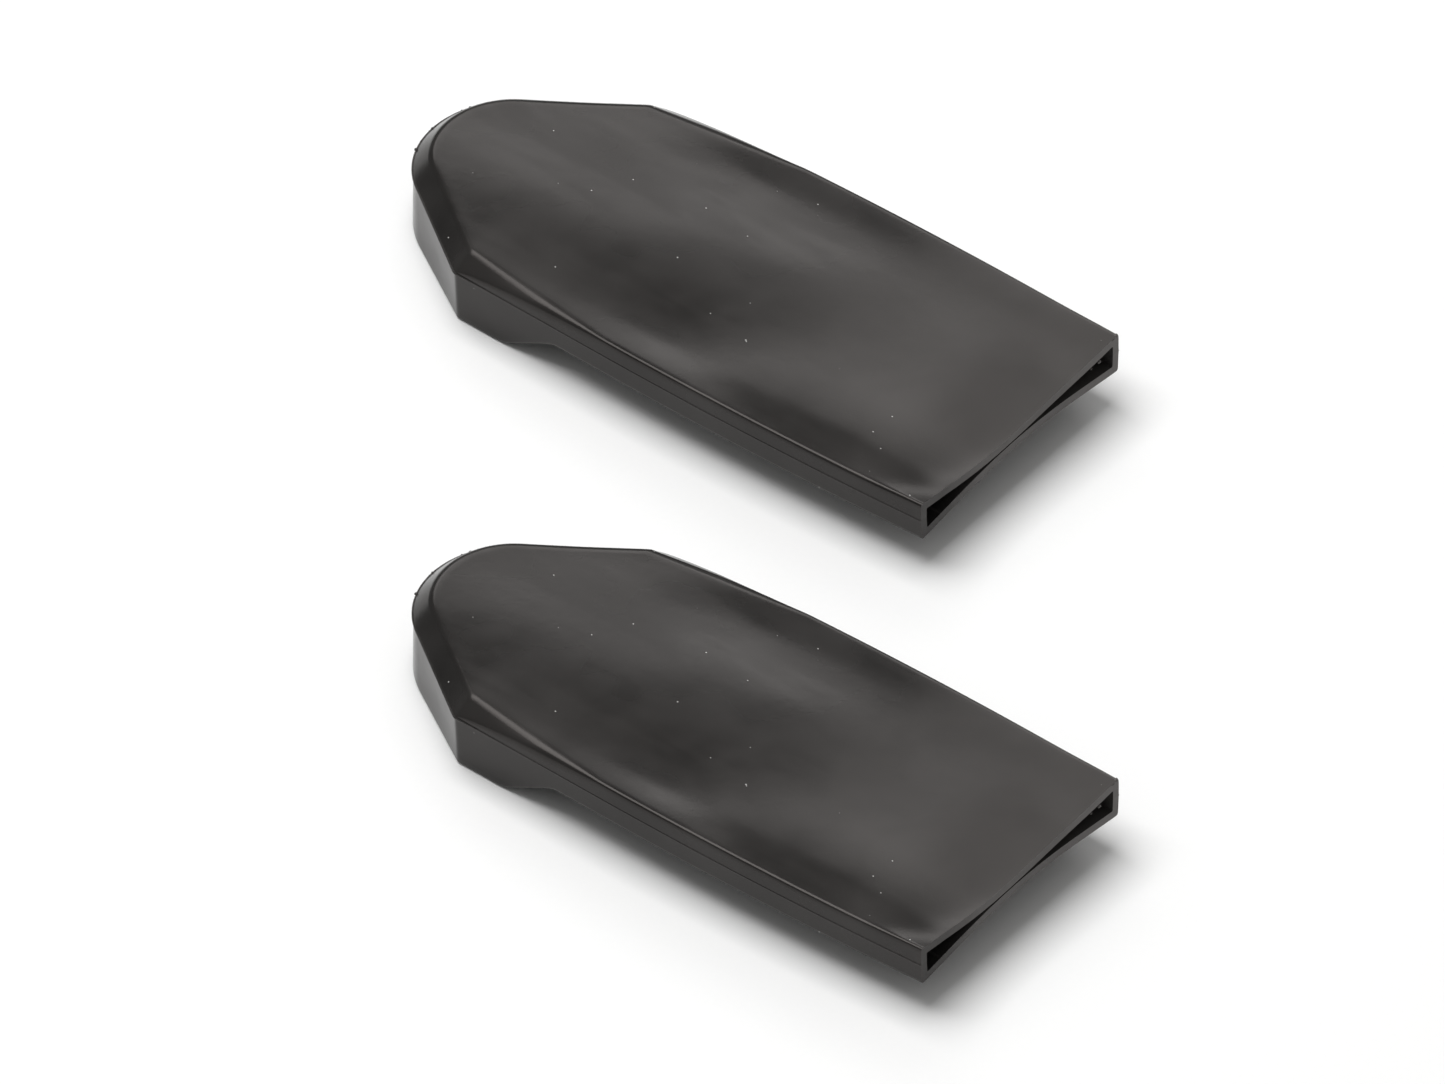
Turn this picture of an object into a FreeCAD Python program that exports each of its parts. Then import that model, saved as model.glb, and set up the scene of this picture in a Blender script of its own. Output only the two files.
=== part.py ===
import FreeCAD, Part
import os
import re

import Sketcher
from FreeCAD import Placement, Rotation, Vector

# A pair of pull-on blade guards: two identical flat pouches moulded in one piece from soft rubber.
#
# Each guard has its own frame while it is being built: X runs from the shoulder line (X = 0) to the
# open mouth, Y across the guard, Z up, and the mould's parting line lies in the plane Z = 0.
# Above it is a shallow cover with a sloping facet round the nose. Below it the blade pocket is
# shallow too, except at the nose, where it drops into a deeper head that ends in a ramp.
# A guard is a block with a smaller core of the same form cut out of it through the mouth.

doc = FreeCAD.newDocument("BladeGuards")

# ---------------------------------------------------------------- driving dimensions (mm, degrees)
DIMENSIONS = [
    ("body_length", 103.5, "shoulder line to mouth"),
    ("shoulder_width", 56.4, "width at the shoulder line"),
    ("runout_flare", 1.0, "how far each side has spread where its facet runs out"),
    ("mouth_flare", 0.4, "how far each side has spread at the mouth"),
    ("runout_length", 33.0, "shoulder line to the end of the side facets"),
    ("nose_angle", 35.0, "nose side lines to the long axis"),
    ("nose_radius", 17.9, "rounded tip, at the parting line"),
    ("facet_inset", 3.15, "how far the sloping facet comes in"),
    ("cover_height", 3.75, "parting line to top face"),
    ("body_depth", 4.4, "parting line to underside of the body"),
    ("head_depth", 11.1, "parting line to underside of the head"),
    ("sole_angle", 31.6, "nose side lines of the sole to the long axis"),
    ("sole_radius", 20.7, "rounded tip of the sole"),
    ("sole_length", 10.3, "shoulder line to the start of the ramp"),
    ("ramp_length", 11.6, "ramp from the sole up to the body"),
    ("ramp_round", 6.0, "radius at both ends of the ramp"),
    ("draft_angle", 3.0, "draft of the walls below the parting line"),
    ("wall", 1.7, "wall thickness"),
    ("lip_proud", 0.2, "parting lip, how far it stands out"),
    ("lip_height", 0.3, "parting lip, height"),
    ("overrun", 4.0, "how far a cutting shape runs past what it cuts"),
    ("stagger_along", 74.4, "near guard ahead of far guard, along X"),
    ("stagger_across", 92.2, "near guard beside far guard, along Y"),
]
sheet = doc.addObject("Spreadsheet::Sheet", "Sizes")
for row, (alias, value, meaning) in enumerate(DIMENSIONS, start=1):
    sheet.set("A%d" % row, alias)
    sheet.set("B%d" % row, str(value))
    sheet.set("C%d" % row, meaning)
    sheet.setAlias("B%d" % row, alias)
doc.recompute()

CELLS = {alias: "Sizes." + alias for alias, _, _ in DIMENSIONS}


def from_sheet(formula):
    """The formula with every size name pointed at its cell."""
    return re.sub("[a-z_]+", lambda word: CELLS.get(word.group(), word.group()), formula)


def value_of(formula):
    """The formula's value now, in mm or degrees."""
    result = sheet.evalExpression(from_sheet(formula))
    return float(getattr(result, "Value", result))


# ---------------------------------------------------------------- sketch helpers
ORIGIN = (-1, 1)
X_AXIS = -1
START, END, CENTRE = 1, 2, 3


def new_sketch(name, height="0"):
    """A sketch parallel to the parting plane, at a height given by a formula."""
    sketch = doc.addObject("Sketcher::SketchObject", name)
    sketch.Placement = Placement(Vector(0, 0, value_of(height)), Rotation())
    sketch.setExpression("Placement.Base.z", from_sheet(height))
    return sketch


def drive(sketch, name, formula, *constraint):
    """Adds a dimension to a sketch and binds it to a formula."""
    amount = value_of(formula)
    if constraint[0] == "Angle":
        amount = amount * 3.141592653589793 / 180
    index = sketch.addConstraint(Sketcher.Constraint(*constraint, amount))
    sketch.renameConstraint(index, name)
    unit = " deg" if constraint[0] == "Angle" else " mm"
    sketch.setExpression("Constraints." + name, "(" + from_sheet(formula) + ") * 1" + unit)


def pin_down(sketch, name, edge, end, across, along):
    """Fixes one end of an edge at (across, along), both formulas."""
    drive(sketch, name + "_x", across, "DistanceX", *ORIGIN, edge, end)
    drive(sketch, name + "_y", along, "DistanceY", *ORIGIN, edge, end)


def join(sketch, first, second):
    sketch.addConstraint(Sketcher.Constraint("Coincident", first, END, second, START))


def point(across, along):
    return Vector(value_of(across), value_of(along), 0)


def add_line(sketch, start, end):
    return sketch.addGeometry(Part.LineSegment(start, end), False)


def nose_edges(sketch, angle, radius, half_width, shoulder_x):
    """Side line, rounded tip, side line: from the near shoulder round to the far one."""
    near = point(shoulder_x, "-1 * (%s)" % half_width)
    far = point(shoulder_x, half_width)
    turn = value_of(angle)
    tip_radius = value_of(radius)
    normal = Rotation(Vector(0, 0, 1), -turn).multVec(Vector(0, -1, 0))
    centre_x = near.x + (tip_radius - abs(near.y) * abs(normal.y)) / abs(normal.x)
    centre = Vector(centre_x, 0, 0)
    tangent = centre + normal * tip_radius
    mirrored = Vector(tangent.x, -tangent.y, 0)
    tip = Vector(centre_x - tip_radius, 0, 0)
    near_line = add_line(sketch, near, tangent)
    arc = sketch.addGeometry(Part.Arc(tangent, tip, mirrored), False)
    far_line = add_line(sketch, mirrored, far)
    # an arc runs anticlockwise, so its start is on the far side
    sketch.addConstraint(Sketcher.Constraint("Tangent", near_line, END, arc, END))
    sketch.addConstraint(Sketcher.Constraint("Tangent", arc, START, far_line, START))
    sketch.addConstraint(Sketcher.Constraint("PointOnObject", arc, CENTRE, X_AXIS))
    drive(sketch, "tip_radius", radius, "Radius", arc)
    drive(sketch, "side_angle", "180 - (%s)" % angle, "Angle", near_line)
    pin_down(sketch, "near_shoulder", near_line, START, shoulder_x, "-1 * (%s)" % half_width)
    pin_down(sketch, "far_shoulder", far_line, END, shoulder_x, half_width)
    return near_line, far_line


def closed_sides(sketch, near_line, far_line, corners):
    """Straight edges from the far shoulder through the corners back to the near shoulder."""
    previous = far_line
    start = sketch.Geometry[far_line].EndPoint
    for number, (across, along) in enumerate(corners):
        end = point(across, along)
        edge = add_line(sketch, start, end)
        join(sketch, previous, edge)
        pin_down(sketch, "corner_%d" % number, edge, END, across, along)
        previous = edge
        start = end
    closing = add_line(sketch, start, sketch.Geometry[near_line].StartPoint)
    join(sketch, previous, closing)
    join(sketch, closing, near_line)


def bowed_sides(sketch, inset, reach, start_edge=None, end_edge=None):
    """The body's sides: straight to the run-out, then one arc tangent to it, and the mouth line.

    They join the end of start_edge to the start of end_edge, or close on themselves with a
    straight line across the shoulders when the outline has no nose.
    """
    shoulder = "shoulder_width / 2 - (%s)" % inset
    runout = "shoulder_width / 2 + runout_flare - (%s)" % inset
    mouth = "shoulder_width / 2 + mouth_flare - (%s)" % inset
    mouth_x = "body_length + (%s)" % reach
    if start_edge is None:
        cross = add_line(sketch, point("0", "-1 * (%s)" % shoulder), point("0", shoulder))
        pin_down(sketch, "near_root", cross, START, "0", "-1 * (%s)" % shoulder)
        pin_down(sketch, "far_root", cross, END, "0", shoulder)
        start_edge = end_edge = cross
    far_start = sketch.Geometry[start_edge].EndPoint
    far_runout = point("runout_length", runout)
    far_mouth = point(mouth_x, mouth)
    far_side = add_line(sketch, far_start, far_runout)
    join(sketch, start_edge, far_side)
    pin_down(sketch, "far_runout", far_side, END, "runout_length", runout)
    direction = far_runout - far_start
    direction.normalize()
    chord = far_mouth - far_runout
    bow = chord.Length / 2 * (direction.y * chord.x - direction.x * chord.y) / chord.Length / 2
    crown = (far_runout + far_mouth) / 2 + Vector(0, bow, 0)
    far_arc = sketch.addGeometry(Part.Arc(far_runout, crown, far_mouth), False)
    mirror = [Vector(p.x, -p.y, 0) for p in (far_mouth, crown, far_runout)]
    opening = add_line(sketch, far_mouth, mirror[0])
    near_arc = sketch.addGeometry(Part.Arc(*mirror), False)
    near_side = add_line(sketch, mirror[2], sketch.Geometry[end_edge].StartPoint)
    # both arcs run anticlockwise, from the mouth to the run-out on the far side
    sketch.addConstraint(Sketcher.Constraint("Tangent", far_side, END, far_arc, END))
    sketch.addConstraint(Sketcher.Constraint("Coincident", far_arc, START, opening, START))
    sketch.addConstraint(Sketcher.Constraint("Coincident", opening, END, near_arc, END))
    sketch.addConstraint(Sketcher.Constraint("Tangent", near_arc, START, near_side, START))
    join(sketch, near_side, end_edge)
    pin_down(sketch, "far_mouth", opening, START, mouth_x, mouth)
    pin_down(sketch, "near_mouth", opening, END, mouth_x, "-1 * (%s)" % mouth)
    pin_down(sketch, "near_runout", near_side, START, "runout_length", "-1 * (%s)" % runout)


# ---------------------------------------------------------------- outlines
def plan_sketch(name, inset, reach):
    """The whole outline at the parting line, moved in by inset; the mouth end moves out by reach."""
    sketch = new_sketch(name)
    shoulder_x = "(%s) * tan(nose_angle / 2)" % inset
    near, far = nose_edges(
        sketch,
        "nose_angle",
        "nose_radius - (%s)" % inset,
        "shoulder_width / 2 - (%s)" % inset,
        shoulder_x,
    )
    bowed_sides(sketch, inset, reach, far, near)
    return sketch


def body_sketch(name, height, inset, reach):
    """The body's outline behind the shoulder line, at a height."""
    sketch = new_sketch(name, height)
    bowed_sides(sketch, inset, reach)
    return sketch


def roof_sketch(name, height, inset):
    """The cover's outline at a height, with straight sides that spread so that they run out.

    Two of these, one above the other, have parallel side lines, so each side facet is flat. It
    leaves the top face at the run-out.
    """
    sketch = new_sketch(name, height)
    shoulder_x = "(%s) * tan(nose_angle / 2)" % inset
    half_width = "shoulder_width / 2 - (%s)" % inset
    near, far = nose_edges(
        sketch, "nose_angle", "nose_radius - (%s)" % inset, half_width, shoulder_x
    )
    spread = (
        "(runout_flare + facet_inset)"
        " / (runout_length - facet_inset * tan(nose_angle / 2) )"
    )
    end_x = "body_length + 2 * overrun"
    end_y = "%s + (%s - %s) * %s" % (half_width, end_x, shoulder_x, spread)
    closed_sides(sketch, near, far, [(end_x, end_y), (end_x, "-1 * (%s)" % end_y)])
    return sketch


def head_sketch(name, height, inset, angle, radius, shoulder_x):
    """The head's outline at a height: a nose, and sides that run back past the ramp."""
    sketch = new_sketch(name, height)
    half_width = "shoulder_width / 2 - (%s)" % inset
    near, far = nose_edges(sketch, angle, radius, half_width, shoulder_x)
    end_y = "%s + runout_flare * (%s) / runout_length" % (
        half_width,
        HEAD_END,
    )
    closed_sides(sketch, near, far, [(HEAD_END, end_y), (HEAD_END, "-1 * (%s)" % end_y)])
    return sketch


HEAD_END = "sole_length + ramp_length + overrun"


def ramp_sketch(name, inset):
    """Side view of the head's underside: sole, ramp and the body's underside, seen along Y."""
    sketch = doc.addObject("Sketcher::SketchObject", name)
    sketch.Placement = Placement(Vector(), Rotation(Vector(1, 0, 0), 90))
    front = "-1 * (nose_radius + sole_radius + shoulder_width)"
    sole = "-1 * (head_depth - (%s) )" % inset
    belly = "-1 * (body_depth - (%s) )" % inset
    slope = "atan((head_depth - body_depth) / ramp_length)"
    back_off = "(%s) * tan(%s / 2)" % (inset, slope)
    ramp_start = "sole_length - %s" % back_off
    ramp_end = "sole_length + ramp_length - %s" % back_off
    corners = [
        (front, "0"),
        (front, sole),
        (ramp_start, sole),
        (ramp_end, belly),
        (HEAD_END, belly),
        (HEAD_END, "0"),
    ]
    points = [point(across, along) for across, along in corners]
    round_off = value_of("ramp_round") * value_of("tan(%s / 2)" % slope)
    ramp = points[3] - points[2]
    ramp.normalize()
    along_x = Vector(1, 0, 0)
    lower = [points[2] - along_x * round_off, points[2] + ramp * round_off]
    upper = [points[3] - ramp * round_off, points[3] + along_x * round_off]
    down_edge = add_line(sketch, points[0], points[1])
    sole_edge = add_line(sketch, points[1], lower[0])
    radius = value_of("ramp_round")
    lower_centre = lower[0] + Vector(0, radius, 0)
    upper_centre = upper[1] - Vector(0, radius, 0)
    up = Vector(0, 0, 1)
    halfway = value_of(slope) / 2
    lower_middle = lower_centre + Rotation(up, halfway).multVec(Vector(0, -radius, 0))
    upper_middle = upper_centre + Rotation(up, halfway).multVec(Vector(0, radius, 0))
    lower_arc = sketch.addGeometry(Part.Arc(lower[0], lower_middle, lower[1]), False)
    ramp_edge = add_line(sketch, lower[1], upper[0])
    upper_arc = sketch.addGeometry(Part.Arc(upper[1], upper_middle, upper[0]), False)
    belly_edge = add_line(sketch, upper[1], points[4])
    up_edge = add_line(sketch, points[4], points[5])
    top_edge = add_line(sketch, points[5], points[0])
    join(sketch, down_edge, sole_edge)
    sketch.addConstraint(Sketcher.Constraint("Tangent", sole_edge, END, lower_arc, START))
    sketch.addConstraint(Sketcher.Constraint("Tangent", lower_arc, END, ramp_edge, START))
    sketch.addConstraint(Sketcher.Constraint("Tangent", ramp_edge, END, upper_arc, END))
    sketch.addConstraint(Sketcher.Constraint("Tangent", upper_arc, START, belly_edge, START))
    join(sketch, belly_edge, up_edge)
    join(sketch, up_edge, top_edge)
    join(sketch, top_edge, down_edge)
    sketch.addConstraint(Sketcher.Constraint("Horizontal", sole_edge))
    sketch.addConstraint(Sketcher.Constraint("Horizontal", belly_edge))
    drive(sketch, "lower_radius", "ramp_round", "Radius", lower_arc)
    drive(sketch, "upper_radius", "ramp_round", "Radius", upper_arc)
    drive(sketch, "ramp_slope", slope, "Angle", ramp_edge)
    pin_down(sketch, "front_top", down_edge, START, front, "0")
    pin_down(sketch, "front_foot", down_edge, END, front, sole)
    pin_down(sketch, "back_foot", up_edge, START, HEAD_END, belly)
    pin_down(sketch, "back_top", up_edge, END, HEAD_END, "0")
    # the sharp corner of sole and ramp fixes where the ramp starts
    foot = "(%s) - ramp_round * tan(%s / 2)" % (ramp_start, slope)
    drive(sketch, "ramp_foot", foot, "DistanceX", *ORIGIN, lower_arc, START)
    return sketch


# ---------------------------------------------------------------- solids
def extrude(name, sketch, direction, length, back="0"):
    solid = doc.addObject("Part::Extrusion", name)
    solid.Base = sketch
    solid.DirMode = "Custom"
    solid.Dir = direction
    solid.Solid = True
    solid.setExpression("LengthFwd", "(" + from_sheet(length) + ") * 1 mm")
    solid.setExpression("LengthRev", "(" + from_sheet(back) + ") * 1 mm")
    return solid


def loft(name, *sketches):
    solid = doc.addObject("Part::Loft", name)
    solid.Sections = list(sketches)
    solid.Solid = True
    solid.Ruled = True
    return solid


def common(name, *solids):
    result = doc.addObject("Part::MultiCommon", name)
    result.Shapes = list(solids)
    return result


def fuse(name, *solids):
    result = doc.addObject("Part::MultiFuse", name)
    result.Shapes = list(solids)
    result.Refine = True
    return result


def block(name, inset, reach):
    """Cover, body and head as one block. inset 0 is the outside, inset wall is the core."""
    up = Vector(0, 0, 1)
    cover_top = "cover_height - (%s)" % inset
    body_floor = "body_depth - (%s)" % inset
    head_floor = "head_depth - (%s)" % inset
    draft = "tan(draft_angle)"
    facet_share = "facet_inset * (%s) / cover_height" % cover_top

    plan = plan_sketch(name + "_plan", inset, reach)
    cover = extrude(name + "_cover_walls", plan, up, cover_top)
    roof = loft(
        name + "_roof",
        roof_sketch(name + "_roof_foot", "0", inset),
        roof_sketch(name + "_roof_top", cover_top, "(%s) + %s" % (inset, facet_share)),
    )
    upper = common(name + "_upper", cover, roof)

    body = loft(
        name + "_body",
        body_sketch(name + "_body_top", "0", inset, reach),
        body_sketch(
            name + "_body_foot",
            "-1 * (%s)" % body_floor,
            "(%s) + (%s) * %s" % (inset, body_floor, draft),
            reach,
        ),
    )

    head_walls = loft(
        name + "_head_walls",
        head_sketch(
            name + "_head_top",
            "0",
            inset,
            "nose_angle",
            "nose_radius - (%s)" % inset,
            "(%s) * tan(nose_angle / 2)" % inset,
        ),
        head_sketch(
            name + "_head_sole",
            "-1 * (%s)" % head_floor,
            "(%s) + (%s) * %s" % (inset, head_floor, draft),
            "sole_angle",
            "sole_radius - (%s)" % inset,
            "(%s) * tan(sole_angle / 2)" % inset,
        ),
    )
    across = Vector(0, -1, 0)
    side_view = ramp_sketch(name + "_ramp_profile", inset)
    ramp = extrude(name + "_ramp", side_view, across, "shoulder_width", "shoulder_width")
    head = common(name + "_head", head_walls, ramp)
    return fuse(name + "_block", upper, body, head)


def guard(name):
    """One guard in its own frame."""
    outside = block(name + "_outside", "0", "0")
    core = block(name + "_core", "wall", "overrun")
    lip_plan = plan_sketch(name + "_lip_plan", "-1 * lip_proud", "0")
    half_lip = "lip_height / 2"
    lip = extrude(name + "_lip", lip_plan, Vector(0, 0, 1), half_lip, half_lip)
    solid = fuse(name + "_solid", outside, lip)
    hollow = doc.addObject("Part::Cut", name)
    hollow.Base = solid
    hollow.Tool = core
    hollow.Refine = True
    hollow.Label = name
    return hollow


# ---------------------------------------------------------------- the pair
# The guards lie parallel on one floor, Z = 0, the near one further along X. The origin is on the
# floor under the middle of the pair.
GUARDS = [("far_guard", -1), ("near_guard", 1)]
pair = [(guard(name), side) for name, side in GUARDS]
doc.recompute()

for solid, side in pair:
    box = solid.Shape.optimalBoundingBox()
    shift = Vector(
        side * value_of("stagger_along") / 2 - (box.XMin + box.XMax) / 2,
        -side * value_of("stagger_across") / 2,
        -box.ZMin,
    )
    solid.Placement = Placement(shift, Rotation())
doc.recompute()

# ---------------------------------------------------------------- checks and export
for item in doc.Objects:
    if "Invalid" in item.State or "Error" in item.State:
        raise RuntimeError("%s failed to recompute" % item.Name)
for solid, _ in pair:
    if solid.Shape.isNull() or not solid.Shape.isValid() or len(solid.Shape.Solids) != 1:
        raise RuntimeError("%s is not one valid solid" % solid.Label)

os.makedirs("parts", exist_ok=True)
for solid, _ in pair:
    solid.Shape.exportStep(os.path.join("parts", solid.Label + ".step"))
    box = solid.Shape.optimalBoundingBox()
    size = [round(length, 2) for length in (box.XLength, box.YLength, box.ZLength)]
    print(solid.Label, "volume", round(solid.Shape.Volume), "size", size)
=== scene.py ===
"""Looks for a pair of moulded rubber blade guards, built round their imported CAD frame."""

import math
import random

import bmesh
import bpy
import numpy as np
from bpy.props import FloatProperty, FloatVectorProperty, IntProperty, PointerProperty
from mathutils import Matrix, Vector, noise


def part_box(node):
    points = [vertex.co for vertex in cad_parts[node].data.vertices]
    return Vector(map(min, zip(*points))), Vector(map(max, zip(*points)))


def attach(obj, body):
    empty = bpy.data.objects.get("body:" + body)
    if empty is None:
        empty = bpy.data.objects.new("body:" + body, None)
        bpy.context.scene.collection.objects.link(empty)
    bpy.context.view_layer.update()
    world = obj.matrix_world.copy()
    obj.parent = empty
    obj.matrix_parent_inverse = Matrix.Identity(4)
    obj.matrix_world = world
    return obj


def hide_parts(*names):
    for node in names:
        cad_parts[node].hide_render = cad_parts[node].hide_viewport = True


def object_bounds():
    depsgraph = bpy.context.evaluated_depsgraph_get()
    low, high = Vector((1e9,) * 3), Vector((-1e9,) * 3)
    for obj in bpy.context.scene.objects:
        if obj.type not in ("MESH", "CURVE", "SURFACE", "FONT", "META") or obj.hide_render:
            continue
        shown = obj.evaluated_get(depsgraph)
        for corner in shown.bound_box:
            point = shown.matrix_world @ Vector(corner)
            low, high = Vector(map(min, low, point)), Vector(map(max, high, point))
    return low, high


bl_info = {
    "name": "Blade guards",
    "version": (1, 0, 0),
    "blender": (4, 5, 0),
    "location": "View3D > Sidebar > Blade guards",
    "description": "Moulded rubber blade guards with pinched mouths, mould flash and lint",
    "category": "Object",
}

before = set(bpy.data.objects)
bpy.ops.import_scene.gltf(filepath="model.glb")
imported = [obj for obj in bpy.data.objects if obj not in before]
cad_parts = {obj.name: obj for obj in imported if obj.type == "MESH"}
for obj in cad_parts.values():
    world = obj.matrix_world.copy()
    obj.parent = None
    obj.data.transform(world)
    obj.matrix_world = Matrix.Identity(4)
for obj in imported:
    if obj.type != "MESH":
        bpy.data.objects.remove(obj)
CAD_BOX = [list(corner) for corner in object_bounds()]
MM = 0.001
GUARDS = {"far": "far_guard", "near": "near_guard"}
PLACE = "guard_place"  # each guard's own coordinates, kept on its mesh for the patterns


# ------------------------------------------------------------------------------- sizes and colours
def length(name, description, default_mm):
    return FloatProperty(name=name, description=description, default=default_mm * MM, unit="LENGTH")


class GuardSizes(bpy.types.PropertyGroup):
    """One guard's moulded form, measured from its shoulder line and its parting line."""

    body: length("Body", "Shoulder line to mouth", 103.5)
    half_width: length("Half width", "Half the width at the shoulder line", 28.2)
    flare: length("Flare", "How far each side has spread at the run-out", 1.0)
    mouth_flare: length("Mouth flare", "How far each side has spread at the mouth", 0.4)
    runout: length("Run-out", "Shoulder line to the end of the side facets", 33.0)
    nose_radius: length("Nose radius", "Rounded tip at the parting line", 17.9)
    sole_radius: length("Sole radius", "Rounded tip of the sole", 20.7)
    facet: length("Facet", "How far the sloping facet comes in", 3.15)
    cover: length("Cover", "Parting line to top face", 3.55)
    belly: length("Belly", "Parting line to underside of the body", 4.4)
    head: length("Head", "Parting line to sole", 11.0)
    sole: length("Sole", "Shoulder line to the start of the ramp", 10.3)
    ramp: length("Ramp", "Ramp from sole to belly", 11.6)
    wall: length("Wall", "Wall thickness at the mouth", 1.65)
    edge_round: length("Edge rounding", "Rounding of the top edges", 1.6)
    foot_round: length("Foot rounding", "Rounding of the bottom edges", 0.6)
    sag: length("Sag", "How far the top wall has sunk at the mouth", 2.1)
    arch: length("Arch", "How far the bottom wall has risen at the mouth", 2.75)
    sag_reach: length("Sag reach", "How far back from the mouth the walls are bent", 10.0)
    lift: length("Corner lift", "How far the mouth's top corners stand up", 0.4)
    slant: length("Slant", "How much longer the near side is at the mouth", 1.7)
    lip: length("Lip", "How far the parting lip stands out at the nose", 0.32)
    nose_angle: FloatProperty(
        name="Nose angle",
        description="Nose side lines to the long axis",
        default=math.radians(35.0),
        subtype="ANGLE",
    )
    sole_angle: FloatProperty(
        name="Sole angle",
        description="Side lines of the sole to the long axis",
        default=math.radians(31.6),
        subtype="ANGLE",
    )
    draft: FloatProperty(
        name="Draft",
        description="Draft of the walls below the parting line",
        default=math.radians(3.0),
        subtype="ANGLE",
    )


class RubberLook(bpy.types.PropertyGroup):
    """Colours and finish of the rubber."""

    colour: FloatVectorProperty(
        name="Rubber",
        description="Colour of the clean rubber",
        subtype="COLOR",
        size=3,
        min=0,
        max=1,
        default=(0.0062, 0.0058, 0.0055),
    )
    # lighter colour mixed into the skin in clouds and towards the mouth: partly the rubber's dull bloom,
    # partly a painted reflection of the soft studio lights
    bloom_and_painted_reflection: FloatVectorProperty(
        name="Bloom",
        description="Colour of the dull bloom that handling leaves in clouds",
        subtype="COLOR",
        size=3,
        min=0,
        max=1,
        default=(0.100, 0.094, 0.091),
    )
    sheen: FloatVectorProperty(
        name="Sheen",
        description="Slight warmth of the light that the rubber reflects",
        subtype="COLOR",
        size=3,
        min=0,
        max=1,
        default=(1.0, 0.925, 0.885),
    )
    lint: FloatVectorProperty(
        name="Lint",
        description="Colour of dust and lint",
        subtype="COLOR",
        size=3,
        min=0,
        max=1,
        default=(0.75, 0.75, 0.73),
    )
    roughness: FloatProperty(
        name="Roughness", description="Roughness of the clean skin", default=0.17, min=0, max=1
    )


class StudioSettings(bpy.types.PropertyGroup):
    """Floor, light and camera."""

    azimuth: FloatProperty(
        name="Azimuth",
        description="Camera's turn round the pair",
        default=math.radians(38.89),
        subtype="ANGLE",
    )
    elevation: FloatProperty(
        name="Elevation",
        description="Camera above the horizon",
        default=math.radians(41.03),
        subtype="ANGLE",
    )
    picture_width: length("Picture width", "Width that the camera takes in", 252.9)
    floor_size: length("Floor", "Width of the floor", 9000.0)
    flakes: IntProperty(
        name="Flash crumbs", description="Crumbs of mould flash on the nose", default=26, min=0
    )


def settings():
    scene = bpy.context.scene
    return scene.guard_sizes, scene.rubber_look, scene.guard_studio


# ------------------------------------------------------------------------------- outline of a guard
def column_stations(sizes):
    """Where the section cuts lie, from the near mouth corner round the nose to the far one.

    Returns (kind, value): kind 0 near side, 1 near nose line, 2 tip arc, 3 far nose line,
    4 far side. A side's value is its distance from the shoulder, and the others run 0 to 1.
    """
    body = sizes.body / MM
    # in mm, closest where the form turns
    fine = [0.0, 0.2, 0.42, 0.68, 1.0, 1.4, 1.9, 2.6, 3.5, 4.6]
    head = list(np.arange(5.8, 25.0, 1.2))
    middle = list(np.linspace(26.0, body - 8.0, 44))
    end = [body - d for d in (6.6, 5.3, 4.1, 3.0, 2.0, 1.2, 0.6, 0.25, 0.0)]
    side = np.array(fine + head + middle + end) * MM
    line = np.array([0.01, 0.022, 0.036, 0.055, 0.08, 0.12, 0.18, 0.27, 0.38, 0.5, 0.62, 0.74, 0.86])
    arc = np.linspace(0.0, 1.0, 45)
    kinds = [0] * len(side) + [1] * len(line) + [2] * len(arc) + [3] * len(line) + [4] * len(side)
    values = np.concatenate([side[::-1], line, arc, 1 - line[::-1], side])
    return np.array(kinds), values


def side_half_width(sizes, x):
    """Half the width at the parting line: straight to the run-out, then one long curve."""
    slope = sizes.flare / sizes.runout
    beyond = np.maximum(x - sizes.runout, 0)
    span = sizes.body - sizes.runout
    bend = (slope * span + sizes.flare - sizes.mouth_flare) / span**2
    return sizes.half_width + slope * x - bend * beyond**2


def plan_points(sizes, kinds, values, inset, angle, radius):
    """The outline moved in by inset, one (x, y) for each station."""
    centre = (radius - math.cos(angle) * sizes.half_width) / math.sin(angle)
    shoulder = inset * math.tan(angle / 2)
    tip = radius - inset
    tangent_x = centre - tip * math.sin(angle)
    tangent_y = tip * math.cos(angle)
    edge_y = sizes.half_width - inset

    side_x = shoulder + values * (sizes.body - shoulder) / sizes.body
    side_y = side_half_width(sizes, side_x) - inset
    share = np.where(kinds == 1, values, 1 - values)
    line_x = shoulder + share * (tangent_x - shoulder)
    line_y = edge_y + share * (tangent_y - edge_y)
    swing = (values * 2 - 1) * (math.pi / 2 - angle)
    arc_x = centre - tip * np.cos(swing)
    arc_y = tip * np.sin(swing)

    x = np.select([kinds == 2, (kinds == 1) | (kinds == 3)], [arc_x, line_x], side_x)
    y = np.select([kinds == 2, (kinds == 1) | (kinds == 3)], [arc_y, line_y], side_y)
    y = np.where((kinds == 0) | (kinds == 1), -y, y)
    return x, y


RAMP_EASE = 1.5 * MM  # half the length of the rounding at each end of the ramp


def underside(sizes, x):
    """Depth of the underside at x: the sole, a ramp with rounded ends, then the belly."""
    rise = sizes.head - sizes.belly
    start, stop = sizes.sole, sizes.sole + sizes.ramp

    def knee(distance):
        inside = np.clip(distance + RAMP_EASE, 0, 2 * RAMP_EASE) ** 2 / (4 * RAMP_EASE)
        return np.where(distance > RAMP_EASE, distance, inside)

    return sizes.head - rise / sizes.ramp * (knee(x - start) - knee(x - stop))


def bezier(points, share):
    """Point on a Bezier curve through (inset, z) pairs of arrays."""
    while len(points) > 1:
        points = [
            (a[0] + (b[0] - a[0]) * share, a[1] + (b[1] - a[1]) * share)
            for a, b in zip(points, points[1:])
        ]
    return points[0]


def between(first, second, share):
    """The (inset, z) pair of arrays that lies at a share of the way from first to second."""
    return tuple(a * (1 - share) + b * share for a, b in zip(first, second))


def smooth(share):
    """Eases a share of 0 to 1 at both of its ends."""
    return share * share * (3 - 2 * share)


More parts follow.
